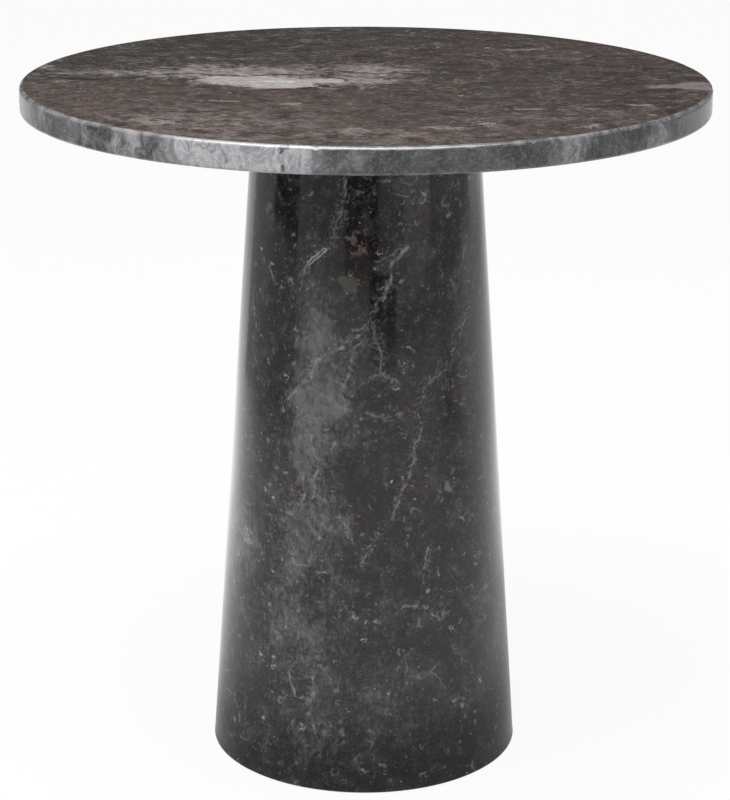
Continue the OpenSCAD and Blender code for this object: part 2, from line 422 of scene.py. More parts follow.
class Rim:
    """Colours of the top's rim."""
    bed = ((0.041, 0.042, 0.0445), (0.09, 0.09, 0.095))
    mottle_pale = (0.15, 0.15, 0.157)
    mottle_dark = (0.035, 0.035, 0.038)
    speck_pale = (0.2, 0.2, 0.205)
    speck_dark = (0.024, 0.024, 0.026)
    white = ((0.3, 0.298, 0.306), (0.52, 0.52, 0.532))
    crease = (0.12, 0.12, 0.124)
    warmth = (1, 0.965, 0.955)
    soot = (0.035, 0.035, 0.037)
    hues = ((0.955, 1.005, 1.03), (1.04, 0.985, 1))
    flecks = (0.36, 0.36, 0.365)


class Charcoal:
    """Colours of the pedestal."""
    bed = ((0.0045, 0.0042, 0.0046), (0.011, 0.0105, 0.011))
    violet = (0.011, 0.009, 0.02)
    brown = (0.023, 0.011, 0.0095)
    green = (0.01, 0.0155, 0.013)
    patch_pale = (0.044, 0.042, 0.043)
    patch_dark = (0.0035, 0.003, 0.0032)
    mottle_pale = (0.058, 0.055, 0.055)
    mottle_dark = (0.0025, 0.0023, 0.0024)
    fine_pale = (0.07, 0.067, 0.066)
    # painted shade: the colour the ground darkens to at the foot
    foot = (0.0045, 0.0035, 0.0038)
    veil = (0.2, 0.2, 0.207)
    brown_zone = (0.0125, 0.007, 0.0062)
    khaki = (0.088, 0.08, 0.06)
    lavender = (0.16, 0.155, 0.175)
    rust = (0.12, 0.088, 0.072)
    grain_pale = (0.055, 0.055, 0.057)
    grain_dark = (0.0022, 0.002, 0.0021)
    marks = (0.37, 0.358, 0.35)


def on_pedestal(angle, z):
    """A point on the pedestal's side."""
    return around(angle, cone_r(z), z)


def on_rim(angle):
    """A point halfway up the rim of the top."""
    return around(angle, TOP_R, MIDDLE_Z)


def face_patch(g, place):
    """Gives the function that makes soft patches on the top's face."""
    return lambda x, y, long, wide, turn=0: g.blob(place, (x, y, 0), (long, wide, 1), turn)


def side_patch(g, place):
    """Gives the function that makes soft patches on the pedestal's side."""
    return lambda angle, z, wide, high: g.blob(place, on_pedestal(angle, z), (wide, wide, high))


def crumbs(g, place, spacing, small, large, rarity, shells=True):
    """A ragged pale bit in each cell, from small to large metres across; few of them are bright.
    Most are bits of shell: part of a ring."""
    torn = g.warp(place, (spacing * 0.7, spacing * 0.32), (spacing * 0.2, spacing * 0.12))
    cells = g.cells(torn, spacing)
    pick = g.channels(cells["Color"])
    radius = g.rise(pick[1], 0, 1, small / spacing / 2, large / spacing / 2)
    share = g.math("DIVIDE", cells["Distance"], radius)
    shape = g.rise(share, 1.15, 0.6)
    if shells:
        ring = g.rise(g.off(share, 1), 0.4, 0.12)
        ring = g.times(ring, g.rise(g.noise(place, large * 0.9, 1), 0.47, 0.56))
        shape = g.mix(g.rise(pick[2], 0.25, 0.35), shape, ring)
    return g.times(shape, g.math("POWER", pick[0], rarity))


def threads(g, place, size, half_width, shown):
    """Fine lines that wander like the edges of spilt ink, faded out where shown is 0."""
    bent = g.warp(place, (size * 0.4, size * 0.2), (size * 0.1, size * 0.03))
    level = g.off(g.noise(bent, size, 2, 0.5), 0.5)
    return g.times(g.rise(level, 0, half_width / size, 1, 0), shown)


def veins(g, paths, half_width, seeds=((0, 1), (4.0, 0.6))):
    """Veins along paths: strands that wander apart and meet again, with crumbs beside them. Each
    seed is (where its noise lies, how narrow the strand is)."""
    strands = []
    for seed, narrow in seeds:
        aside = (seed, seed, seed)
        moved = g.warp(g.vector("ADD", g.place, aside), (0.03, 0.0085), (0.007, 0.0025))
        bent = g.vector("SUBTRACT", moved, aside)
        near = g.least(*(g.line(bent, path) for path in paths))
        broken = g.rise(g.noise(moved, 0.013, 3, 0.65), 0.36, 0.54, 0.15, 1)
        strands.append(g.times(g.rise(near, 0, half_width * narrow, narrow, 0), broken))
    crumbly = g.rise(g.noise(g.place, 0.004, 4, 0.7), 0.5, 0.64)
    beside = g.times(g.rise(near, 0, 0.012, 0.65, 0), crumbly)
    return g.most(*strands, beside)


def stone_layers(g, place):
    """What both stones share: a wavy place, and patterns from 0 to 1."""
    wavy = g.warp(place, (0.03, 0.007), (0.007, 0.0016))
    clouds = g.noise(place, 0.13, 3, 0.5, 0.6)
    patches = g.noise(wavy, 0.035, 3, 0.55, 0.4)
    mottle = g.noise(wavy, 0.009, 4, 0.6)
    grain = g.noise(place, 0.0015, 3, 0.7)
    bits = g.most(crumbs(g, place, 0.014, 0.0022, 0.006, 2.2),
        g.times(crumbs(g, place, 0.006, 0.0012, 0.0028, 2.6), 0.8),
        g.times(crumbs(g, place, 0.003, 0.0008, 0.0015, 4.0, shells=False), 0.55))
    flecks = g.times(bits, g.rise(patches, 0.35, 0.6, 0.35, 1))
    aside = g.vector("ADD", place, (3, 5, 7))
    fine = g.most(threads(g, place, 0.075, 0.001, g.rise(patches, 0.54, 0.64)),
        threads(g, aside, 0.045, 0.0008, g.rise(mottle, 0.54, 0.64)))
    return SimpleNamespace(wavy=wavy, clouds=clouds, patches=patches, mottle=mottle,
        grain=grain, flecks=flecks, threads=fine)


def tinted(g, colour, place, size, hues):
    """Drifts of other hues over a colour, about as bright as it."""
    drift = g.channels(g.noise(place, size, 3, 0.55, 0.5, colour=True))
    for part, hue in zip(drift, hues):
        colour = g.mix(g.rise(part, 0.48, 0.6), colour, hue, "MULTIPLY")
    return colour


def polish(g, layers, roughness, pale):
    """A polished face: duller on the pale bits, and faintly uneven, as polishing leaves it."""
    ground = g.rise(layers.patches, 0.3, 0.7, roughness * 0.85, roughness * 1.25)
    g.set(roughness=g.add(ground, g.times(pale, 0.12)), ior=1.48)
    waves = g.noise(g.place, 0.04, 2, 0.5)
    pits = g.noise(g.place, 0.0014, 2, 0.6)
    g.set(normal=g.bump(pits, 0.00002, 0.6, Normal=g.bump(waves, 0.00025, 0.5)))


# ---- the stone of the top

# Patches on the face: x, y, half length, half width, turn in degrees, and in some tables the
# strength.
FACE_FRONT = [(-0.16, -0.26, 0.11, 0.07, -20, 1), (-0.01, -0.31, 0.09, 0.035, 0, 0.9),
    (0.2, -0.22, 0.1, 0.05, 30, 0.5), (0.2, 0.17, 0.06, 0.07, 30, 0.3)]
FACE_BITS = [(-0.077, -0.152, 0.012, 0.009), (0.117, -0.253, 0.012, 0.013),
    (0.078, -0.278, 0.02, 0.007), (0.29, -0.2, 0.006, 0.006),
    (0.17, -0.17, 0.016, 0.006), (0.18, 0.2, 0.026, 0.006),
    (-0.15, -0.135, 0.024, 0.005), (-0.2, -0.25, 0.02, 0.012),
    (-0.01, -0.285, 0.018, 0.01), (0.28, -0.15, 0.015, 0.005),
    (0.22, -0.26, 0.014, 0.008, 30), (-0.35, 0.07, 0.008, 0.02)]
FACE_WEDGE = [(0.352, -0.036, 0.03, 0.03), (0.32, -0.038, 0.03, 0.014)]
CLOUD_VEIL = [(-0.15, 0.04, 0.14, 0.05, 2, 1), (0.005, 0.045, 0.055, 0.055, 0, 1),
    (-0.01, -0.012, 0.06, 0.04, 0, 1), (-0.28, 0.035, 0.075, 0.035, -5, 0.7),
    (-0.17, 0.13, 0.11, 0.006, -4, 0.6), (-0.32, -0.02, 0.05, 0.012, 0, 0.35)]
CLOUD_CORE = [(-0.13, -0.012, 0.052, 0.038, -10), (-0.092, -0.028, 0.05, 0.034),
    (-0.048, -0.013, 0.034, 0.02)]
CLOUD_FLASH = [(-0.116, -0.018, 0), (-0.096, -0.019, 0), (-0.072, -0.023, 0)]
FACE_CRACKS = [  # x, y
    [(-0.215, 0.028), (-0.185, 0.03), (-0.165, 0.02), (-0.13, 0.016), (-0.1, 0.022),
        (-0.055, 0.026)],
    [(-0.055, 0.026), (-0.035, 0.01), (-0.02, -0.012)],
    [(-0.04, -0.045), (-0.075, -0.066), (-0.11, -0.068)],
    [(-0.35, 0.005), (-0.29, -0.01), (-0.24, 0.005)],
    [(-0.03, 0.05), (0.01, 0.03), (0.03, 0.035)]]
# Patches along the rim: angle, half length, strength.
RIM_WHITE = [(-23, 0.062, 1), (-13, 0.036, 1), (-39, 0.026, 0.55), (-62, 0.07, 0.24),
    (-50, 0.05, 0.3), (-1, 0.03, 0.22), (33, 0.03, 0.35), (51, 0.02, 0.34)]
RIM_WARM = [(-36, 0.05, 1), (-52, 0.05, 0.7)]


def top_face(g, layers):
    """The face of the top: plum brown and crumbly, drawn out along X, more so at the back."""
    flat = g.stretch(g.warp(g.place, (0.05, 0.014), (0.012, 0.005)), (1, 1, 0))
    across, depth, _ = g.xyz(g.warp(g.place, (0.15, 0.1)))
    drawing = g.minus(0.7, g.times(depth, 0.5))
    drawn = g.vector("MULTIPLY", flat, g.join(drawing, 1, 1))
    swirls = g.noise(drawn, 0.026, 4, 0.6, 0.5)
    crumble = g.noise(drawn, 0.0075, 5, 0.72)
    longer = g.join(g.times(drawing, 0.75), 1, 0)
    dashed = g.vector("MULTIPLY", g.warp(g.place, (0.02, 0.009), (0.006, 0.003)), longer)
    dashes = g.noise(dashed, 0.0062, 3, 0.6)
    zones = g.rise(g.noise(flat, 0.07, 2, 0.5), 0.4, 0.58, 0.45, 1)
    patch = face_patch(g, flat)

    # greenish grey at the back left, plum brown in the middle, pinker towards the front left
    ground = g.mix(g.rise(g.minus(depth, across), 0.4, 0.05), Face.back, Face.middle)
    ground = g.lay(ground, Face.cloudy, layers.clouds, 0.6, 0.4, 0.4)
    forward = g.minus(g.times(across, -0.5), depth)
    ground = g.lay(ground, Face.front, forward, 0.02, 0.34, 0.75)
    ground = g.mix(g.times(patch(-0.01, -0.16, 0.12, 0.06), 0.3), ground, Face.front_middle)

    ground = g.lay(ground, Face.swirl_dark, swirls, 0.47, 0.36, 0.6)
    ground = g.lay(ground, Face.swirl_pale, swirls, 0.53, 0.66, 0.55)
    ground = g.lay(ground, Face.crumb_dark, crumble, 0.47, 0.34, 0.5)
    pale = g.times(g.rise(crumble, 0.54, 0.68, 0, 0.7), zones)
    ground = g.mix(pale, ground, Face.crumb_pale)
    dark = g.times(g.rise(dashes, 0.45, 0.38, 0, 0.5), zones)
    ground = g.mix(dark, ground, Face.dash_dark)
    pale = g.times(g.rise(dashes, 0.555, 0.635, 0, 0.75), g.rise(swirls, 0.38, 0.6, 0.2, 1))
    ground = g.mix(pale, ground, Face.dash_pale)
    ground = tinted(g, ground, flat, 0.024, Face.hues)
    ground = with_singles(g, patch, ground, swirls, crumble)
    return with_cloud(g, patch, ground, swirls, crumble, flat)


def with_singles(g, patch, ground, swirls, crumble):
    """Adds crumbly pinkish zones at the front, lone pale bits and a wedge at the right edge."""
    front = g.spread(patch, FACE_FRONT)
    rough = g.add(g.times(swirls, 0.5), g.times(crumble, 0.5))
    crumbly = g.times(front, g.rise(rough, 0.45, 0.58))
    ground = g.mix(g.times(crumbly, 0.72), ground, Face.pinkish)
    lone = g.times(g.all(patch, FACE_BITS), g.rise(crumble, 0.42, 0.56, 0.3, 1.3))
    ground = g.lay(ground, Face.bits, lone, 0.15, 0.75, 0.85)
    wedge = g.rise(g.all(patch, FACE_WEDGE), 0.3, 0.6, 0, 0.85)
    return g.mix(wedge, ground, g.mix(g.rise(crumble, 0.4, 0.6), *Face.wedge))


def with_cloud(g, patch, ground, swirls, crumble, flat):
    """Adds the cloud left of the middle: a crumbly veil, a brighter core with a flash in it, and
    dark cracks round it."""
    veil = g.spread(patch, CLOUD_VEIL)
    uneven = g.minus(g.add(g.times(crumble, 1.2), g.times(swirls, 0.8)), 1)
    ground = g.mix(g.rise(g.add(veil, g.times(uneven, 1.5)), 0.25, 1, 0, 0.9), ground,
        g.mix(g.rise(crumble, 0.4, 0.62), *Face.veil))
    core = g.all(patch, CLOUD_CORE)
    ground = g.mix(g.rise(g.add(core, g.times(uneven, 0.6)), 0.3, 0.62, 0, 0.95), ground,
        g.mix(g.rise(crumble, 0.38, 0.62), *Face.core))
    cracked = g.stretch(g.warp(g.place, (0.015, 0.01)), (1, 1, 0))
    crack = g.least(*(g.line(cracked, [(x, y, 0) for x, y in path]) for path in FACE_CRACKS))
    crack = g.times(g.rise(crack, 0, 0.0062, 0.9, 0), g.rise(crumble, 0.34, 0.48))
    ground = g.mix(crack, ground, Face.crack)
    flash = g.rise(g.line(flat, CLOUD_FLASH), 0, 0.006, 1, 0)
    flash = g.times(flash, g.rise(crumble, 0.42, 0.56, 0.15, 0.9))
    return g.mix(flash, ground, Face.flash)


def top_rim(g, layers):
    """The rim is cut across the stone's bed: blue-grey, with white folds at the front left."""
    folds = g.warp(g.place, (0.05, 0.02), (0.014, 0.006))
    soft = g.noise(folds, 0.03, 3, 0.5)
    upright = g.noise(g.stretch(folds, (1, 1, 0.45)), 0.008, 3, 0.55)
    creases = g.off(g.noise(g.stretch(folds, (1, 1, 0.55)), 0.024, 2, 0.5), 0.5)
    mottle = layers.mottle
    rim = g.mix(g.rise(soft, 0.36, 0.64), *Rim.bed)
    rim = g.lay(rim, Rim.mottle_pale, mottle, 0.5, 0.7, 0.5)
    rim = g.lay(rim, Rim.mottle_pale, upright, 0.54, 0.72, 0.2)
    rim = g.lay(rim, Rim.mottle_dark, mottle, 0.47, 0.34, 0.5)
    specks = g.noise(g.stretch(folds, (1, 1, 1.5)), 0.0036, 4, 0.7)
    rim = g.lay(rim, Rim.speck_pale, specks, 0.52, 0.66, 0.6)
    rim = g.lay(rim, Rim.speck_dark, specks, 0.47, 0.36, 0.6)

    def on_edge(angle, half_length):
        return g.blob(folds, on_rim(angle), (half_length, half_length, 0.06))

    white = g.spread(on_edge, RIM_WHITE)
    veil = g.add(white, g.times(g.minus(g.add(soft, upright), 1), 0.5))
    lively = g.add(g.times(upright, 0.4), g.times(specks, 0.6))
    rim = g.mix(g.rise(veil, 0.12, 0.72, 0, 0.9), rim,
        g.mix(g.rise(lively, 0.38, 0.6), *Rim.white))
    creased = g.times(g.rise(white, 0.2, 0.5), g.rise(soft, 0.42, 0.56, 0.15, 1))
    rim = g.mix(g.times(g.rise(creases, 0, 0.04, 0.5, 0), creased), rim, Rim.crease)
    # at the front left the brown of the face runs over the edge
    rim = g.mix(g.times(g.spread(on_edge, RIM_WARM), 0.5), rim, Rim.warmth, "MULTIPLY")
    rim = g.mix(soot(g, folds, mottle), rim, Rim.soot)
    rim = tinted(g, rim, g.place, 0.016, Rim.hues)
    return g.mix(g.times(layers.flecks, 0.6), rim, Rim.flecks)


def soot(g, folds, mottle):
    """Two black bits, one above the other, in the white part of the rim."""
    x, y, z = on_rim(-13)
    bits = g.most(g.blob(folds, (x, y, z + 0.004), (0.0045, 0.0045, 0.006)),
        g.times(g.blob(folds, (x - 0.004, y, z - 0.007), (0.004, 0.004, 0.004)), 0.8))
    bits = g.times(bits, g.rise(mottle, 0.42, 0.56, 0.5, 1.3))
    return g.rise(bits, 0.3, 0.6, 0, 0.85)


def worn_and_sheen_edges(g):
    """1 on the two rounded edges of the top, in patches: pale wear where use and cleaning have
    dulled the polish, and also a painted highlight, the sheen these edges catch."""
    radius = g.from_axis()
    height = g.xyz(g.place)[2]
    upper = g.times(g.rise(radius, TOP_R - 0.0046, TOP_R - 0.0032),
        g.rise(height, TOP_Z - 0.0042, TOP_Z - 0.0026))
    lower = g.times(g.rise(radius, TOP_R - 0.004, TOP_R - 0.002),
        g.rise(height, UNDERSIDE_Z + 0.0035, UNDERSIDE_Z + 0.0015))
    patches = g.rise(g.noise(g.place, 0.02, 4, 0.7), 0.44, 0.6, 0.12, 1)
    return g.times(g.most(upper, g.times(lower, 0.7)), patches)


def top_stone():
    """The stone of the top."""
    g = Graph("stone_top_polished")
    layers = stone_layers(g, g.place)
    pale = g.most(g.times(layers.flecks, 0.75), g.times(layers.threads, 0.3))
    face = g.mix(pale, top_face(g, layers), Face.flecks)
    outside = g.rise(g.from_axis(), TOP_R - 0.0045, TOP_R - 0.0015)
    base = g.mix(outside, face, top_rim(g, layers))
    wear_and_sheen = worn_and_sheen_edges(g)
    # painted highlight and pale wear on the top's rounded edges
    base = g.mix(g.times(wear_and_sheen, 0.65), base, Face.wear_and_sheen)
    base = g.lay(base, Face.grain, layers.grain, 0.42, 0.75, 0.12)
    g.set(base_color=base)
    polish(g, layers, 0.2, g.most(pale, wear_and_sheen))
    return g.material


# ---- the stone of the pedestal

# Patches on the side: angle, height, half width, half height, and in some tables the strength.
FRONT_BROWN = [(-45, 0.56, 0.045, 0.12, 1), (10, 0.33, 0.05, 0.07, 0.8),
    (30, 0.16, 0.05, 0.04, 0.8), (-3, 0.6, 0.02, 0.03, 0.9)]
FRONT_VEIL = [(-22, 0.5, 0.026, 0.075, 1), (-23, 0.42, 0.036, 0.09, 1),
    (-15, 0.44, 0.028, 0.07, 0.95), (-23, 0.3, 0.052, 0.08, 0.66),
    (-60, 0.26, 0.04, 0.05, 0.85), (68, 0.15, 0.045, 0.035, 0.5),
    (0, 0.11, 0.05, 0.04, 0.4), (-27, 0.19, 0.064, 0.075, 0.66),
    (-20, 0.06, 0.07, 0.05, 0.4), (-25, 0.58, 0.02, 0.05, 0.35)]
BACK_VEIL = [(158, 0.52, 0.03, 0.09, 1), (-165, 0.3, 0.05, 0.07, 0.8),
    (175, 0.12, 0.06, 0.04, 0.6), (-142, 0.6, 0.03, 0.05, 0.7)]
KHAKI = [(-7.5, 0.565, 0.008, 0.01), (-10, 0.57, 0.006, 0.006)]
RUSTY = [(-5, 0.606, 0.013, 0.011, 1), (-52, 0.635, 0.012, 0.01, 0.8),
    (-45, 0.655, 0.01, 0.008, 0.7), (-9, 0.475, 0.01, 0.008, 0.7)]
FRONT_BITS = [(-46, 0.33, 0.004, 0.003), (31, 0.245, 0.0025, 0.004),
    (5.5, 0.199, 0.004, 0.004), (-3.5, 0.201, 0.004, 0.003), (1, 0.198, 0.003, 0.0025),
    (-18, 0.25, 0.007, 0.002), (-57, 0.268, 0.01, 0.012), (43, 0.632, 0.003, 0.003),
    (41, 0.185, 0.0025, 0.004), (-36, 0.611, 0.004, 0.002), (20, 0.497, 0.003, 0.002),
    (-24, 0.073, 0.003, 0.006), (-19, 0.072, 0.003, 0.005), (45, 0.3, 0.002, 0.004),
    (-48, 0.47, 0.002, 0.006), (-45, 0.385, 0.004, 0.003), (28, 0.655, 0.003, 0.01),
    (13, 0.455, 0.005, 0.004)]
FRONT_VEINS = [  # angle, height
    [(19.5, 0.603), (11.5, 0.587), (10.3, 0.567), (4.6, 0.539), (-1, 0.519), (-11.5, 0.499),
        (-23, 0.479), (-31, 0.45), (-36.5, 0.43)],
    [(3, 0.527), (7, 0.495), (6, 0.475), (11.5, 0.462)]]
FRONT_FINE_VEINS = [
    [(51.5, 0.519), (39, 0.471), (27.5, 0.455), (24, 0.422), (25, 0.406), (18, 0.358),
        (11.5, 0.318), (-1, 0.262)],
    [(-9, 0.675), (-13, 0.636), (-17, 0.607), (-30, 0.575), (-33, 0.55)],
    [(-9, 0.43), (-10, 0.456), (-7, 0.476), (-6, 0.497), (-1, 0.507), (5, 0.5)],
    [(-50, 0.57), (-44, 0.555), (-36, 0.565), (-34, 0.54)],
    [(-24, 0.415), (-20, 0.37), (-22, 0.33)],
    [(-41, 0.285), (-33, 0.305), (-27, 0.335)],
    [(27, 0.275), (24, 0.24)],
    [(-12, 0.325), (-6, 0.292)],
    [(-30, 0.14), (-27, 0.105), (-21, 0.1), (-20, 0.13)],
    [(15, 0.215), (24, 0.21), (32, 0.19), (34, 0.205)],
    [(-63, 0.535), (-58, 0.5), (-60, 0.465)],
    [(3, 0.424), (18, 0.425)]]
SPLINTER = [(-27, 0.585), (-19, 0.601)]


def pedestal_ground(g, layers):
    """The pedestal's ground: nearly black, with faint violet, brown and green in it, and a painted
    shade that darkens it towards the foot.
    """
    patches, mottle = layers.patches, layers.mottle
    ground = g.mix(g.rise(layers.clouds, 0.38, 0.62), *Charcoal.bed)
    drift = g.channels(g.noise(g.place, 0.03, 3, 0.5, 0.5, colour=True))
    ground = g.lay(ground, Charcoal.violet, drift[0], 0.5, 0.6, 0.85)
    ground = g.lay(ground, Charcoal.brown, drift[1], 0.5, 0.6, 0.85)
    ground = g.lay(ground, Charcoal.green, drift[2], 0.5, 0.62, 0.85)
    ground = g.lay(ground, Charcoal.patch_pale, patches, 0.5, 0.7, 0.7)
    ground = g.lay(ground, Charcoal.patch_dark, patches, 0.48, 0.34, 0.7)
    ground = g.lay(ground, Charcoal.mottle_pale, mottle, 0.52, 0.66, 0.65)
    fine = g.noise(layers.wavy, 0.0035, 3, 0.7)
    ground = g.lay(ground, Charcoal.fine_pale, fine, 0.53, 0.7, 0.7)
    ground = g.lay(ground, Charcoal.mottle_dark, mottle, 0.47, 0.34, 0.7)
    height = g.xyz(layers.wavy)[2]
    # painted shade: darker towards the foot
    return g.lay(ground, Charcoal.foot, height, 0.11, 0.01, 0.5)


def veiled(g, layers, ground, veil):
    """Lays a pale, fibrous veil over the ground."""
    fibres = g.noise(g.stretch(layers.wavy, (1, 1, 0.6)), 0.005, 5, 0.7)
    uneven = g.minus(g.add(g.times(layers.patches, 0.8), g.times(fibres, 1.2)), 1)
    torn = g.add(veil, g.times(uneven, 1.8))
    return g.lay(ground, Charcoal.veil, torn, 0.15, 1.5, 0.9)


def front_of_pedestal(g, layers, ground):
    """What shows in the photo: a soft veil down the left of the front, single bits, and veins."""
    patch = side_patch(g, layers.wavy)
    brown = g.spread(patch, FRONT_BROWN)
    brown = g.times(brown, g.rise(layers.patches, 0.6, 0.42, 0.3, 0.85))
    ground = g.mix(brown, ground, Charcoal.brown_zone)
    ground = veiled(g, layers, ground, g.spread(patch, FRONT_VEIL))
    khaki = g.rise(g.all(patch, KHAKI), 0.22, 0.55, 0, 0.8)
    ground = g.mix(khaki, ground, Charcoal.khaki)
    lavender = g.rise(patch(-29, 0.44, 0.008, 0.012), 0.2, 0.6, 0, 0.8)
    ground = g.mix(lavender, ground, Charcoal.lavender)
    rusty = g.rise(g.spread(patch, RUSTY), 0.3, 0.6)
    rusty = g.times(rusty, g.rise(layers.mottle, 0.46, 0.56))
    return g.mix(rusty, ground, Charcoal.rust), front_marks(g, layers.mottle)


def front_marks(g, mottle):
    """The veins and the pale bits of the front, and a splinter with a bright rind."""
    main, fine = [[[on_pedestal(*point) for point in path] for path in paths]
        for paths in (FRONT_VEINS, FRONT_FINE_VEINS)]
    bent = g.warp(g.place, (0.012, 0.006), (0.004, 0.0035))
    splinter = g.line(g.warp(g.place, (0.004, 0.0014)),
        [on_pedestal(*point) for point in SPLINTER])
    singles = g.times(g.all(side_patch(g, bent), FRONT_BITS),
        g.rise(g.noise(bent, 0.003, 2), 0.42, 0.56, 0.25, 1.2))
    rind = g.rise(g.off(splinter, 0.0018), 0, 0.001, 1, 0)
    return g.most(g.times(veins(g, main, 0.003), 0.7),
        g.times(veins(g, fine, 0.0022, seeds=((0, 1),)), 0.55),
        g.times(g.rise(singles, 0.25, 0.7), 0.6),
        g.times(rind, g.rise(mottle, 0.38, 0.5, 0.45, 1.2)))


def back_of_pedestal(g, layers, ground):
    """Unseen in the photo: more of the same, with veins that wander freely."""
    depth = g.xyz(g.place)[1]
    behind = g.rise(depth, 0.06, 0.085)
    veil = g.spread(side_patch(g, layers.wavy), BACK_VEIL)
    ground = veiled(g, layers, ground, g.times(behind, veil))
    broken = g.rise(g.noise(g.place, 0.013, 3, 0.65), 0.42, 0.56, 0.1, 1)
    broken = g.times(behind, broken)
    crumbly = g.times(behind, g.rise(g.noise(g.place, 0.004, 4, 0.7), 0.5, 0.64))
    beside = threads(g, g.place, 0.24, 0.008, crumbly)
    main = threads(g, g.place, 0.24, 0.0018, broken)
    fine = threads(g, g.vector("ADD", g.place, (9, 2, 4)), 0.13, 0.0008, broken)
    return ground, g.most(g.times(main, 0.62), g.times(beside, 0.3), g.times(fine, 0.4))


def pedestal_stone(name, side):
    """Charcoal stone with wandering grey veins. side adds what belongs to the front or the back:
    one material with both would be too large for the renderer."""
    g = Graph(name)
    layers = stone_layers(g, g.place)
    ground, marks = side(g, layers, pedestal_ground(g, layers))
    pale = g.most(layers.flecks, g.times(layers.threads, 0.3), marks)
    grain = layers.grain
    ground = g.lay(ground, Charcoal.grain_pale, grain, 0.45, 0.7, 0.28)
    ground = g.lay(ground, Charcoal.grain_dark, grain, 0.46, 0.34, 0.5)
    g.set(base_color=g.mix(pale, ground, Charcoal.marks))
    polish(g, layers, 0.11, pale)
    return g.material


SAW_CENTRE = (0.9, 0.3)  # x, y
SAW_SPACING = 0.004  # metres between the saw's arcs


def sawn_stone():
    """The faces that aren't polished: paler, matt, with the arcs that the saw left."""
    g = Graph("stone_sawn")
    mottle = g.noise(g.place, 0.02, 5, 0.6)
    grain = g.noise(g.place, 0.0012, 3, 0.7)
    blade = g.vector("DISTANCE", g.place, (*SAW_CENTRE, TOP_Z))
    marks = g.math("SINE", g.times(blade, 2 * math.pi / SAW_SPACING))
    base = g.mix(g.rise(mottle, 0.3, 0.7), (0.11, 0.105, 0.1), (0.2, 0.19, 0.18))
    base = g.mix(g.rise(grain, 0.4, 0.8, 0, 0.5), base, (0.3, 0.29, 0.28))
    g.set(base_color=base, roughness=g.rise(grain, 0.2, 0.8, 0.6, 0.85), ior=1.5)
    g.set(normal=g.bump(g.add(g.times(marks, 0.15), grain), 0.0002, 0.6))
    return g.material


# ---- the two stones' shapes

def top_profile():
    """The top's section, from the underside's middle to the face's, and where in it the lower
    and the upper rounded edge begin."""
    under = [(0, UNDERSIDE_Z), (TOP_R * 0.5, UNDERSIDE_Z),
        (TOP_R - LOWER_ROUND - SHOULDER, UNDERSIDE_Z)]
    lower = arc(TOP_R - LOWER_ROUND, UNDERSIDE_Z + LOWER_ROUND, LOWER_ROUND, -90, 0, LOWER_STEPS)
    band = [(TOP_R, UNDERSIDE_Z + LOWER_ROUND + SHOULDER), (TOP_R, MIDDLE_Z),
        (TOP_R, TOP_Z - UPPER_ROUND - SHOULDER)]
    upper = arc(TOP_R - UPPER_ROUND, TOP_Z - UPPER_ROUND, UPPER_ROUND, 0, 90, UPPER_STEPS)
    over = [(TOP_R - UPPER_ROUND - SHOULDER, TOP_Z), (TOP_R * 0.5, TOP_Z), (0, TOP_Z)]
    return under + lower + band + upper + over, len(under), len(under + lower + band)


def edge_chips():
    """Small chips in the rounded edges: angle, half width, depth, and whether on the upper one."""
    pick = random.Random(CHIP_SEED)
    return [(pick.uniform(0, 2 * math.pi), pick.uniform(*CHIP_HALF_WIDTH),
        pick.uniform(*CHIP_DEPTH), pick.random() < CHIPS_ABOVE) for _ in range(CHIPS)]


def edge_loss(angle, is_upper, chips):
    """How far in a rounded edge lies at an angle: it is unevenly eased, and chipped."""
    place = Vector(turned(angle, EASED_CIRCLE, 3 if is_upper else 8))
    depth = EASED * (noise.noise(place) + 1)
    for at, width, chip, on_upper in chips:
        if on_upper == is_upper:
            gap = ((angle - at + math.pi) % (2 * math.pi) - math.pi) * TOP_R
            depth += chip * math.exp(-(gap / width) ** 2)
    return depth


def make_top(polished, sawn):
    profile, first_lower, first_upper = top_profile()
    chips = edge_chips()

    def shape(angle, index, r, z):
        on_upper = first_upper < index < first_upper + UPPER_STEPS
        on_lower = first_lower < index < first_lower + LOWER_STEPS
        if not (on_upper or on_lower):
            return r, z
        depth = edge_loss(angle, on_upper, chips)
        return r - depth, z - depth if on_upper else z + depth

    def pick(index, angle):
        return int(index < first_lower)

    top = lathe("stone_top", profile, TOP_SEGMENTS, shape=shape, pick=pick,
        materials=(polished, sawn))
    top.data.set_sharp_from_angle(angle=math.radians(TOP_SHARP))
    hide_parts("table_top")
    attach(top, "root")


def leveller_cutter(number, sawn):
    """What a levelling foot's pocket and its insert's hole take out of the pedestal."""
    start = FOOT_Z - CUT_PAST
    steps = [(0, start), (POCKET_R, start), (POCKET_R, POCKET_Z),
        (INSERT_HOLE_R, POCKET_Z), (INSERT_HOLE_R, INSERT_HOLE_Z), (0, INSERT_HOLE_Z)]
    cutter = lathe(f"cutter_{number}", steps, CUT_SEGMENTS, materials=(sawn,))
    low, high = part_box(f"leveller_pad_{number}")
    centre = (Vector(low) + Vector(high)) / 2
    cutter.location = (centre.x, centre.y, 0)
    return cutter


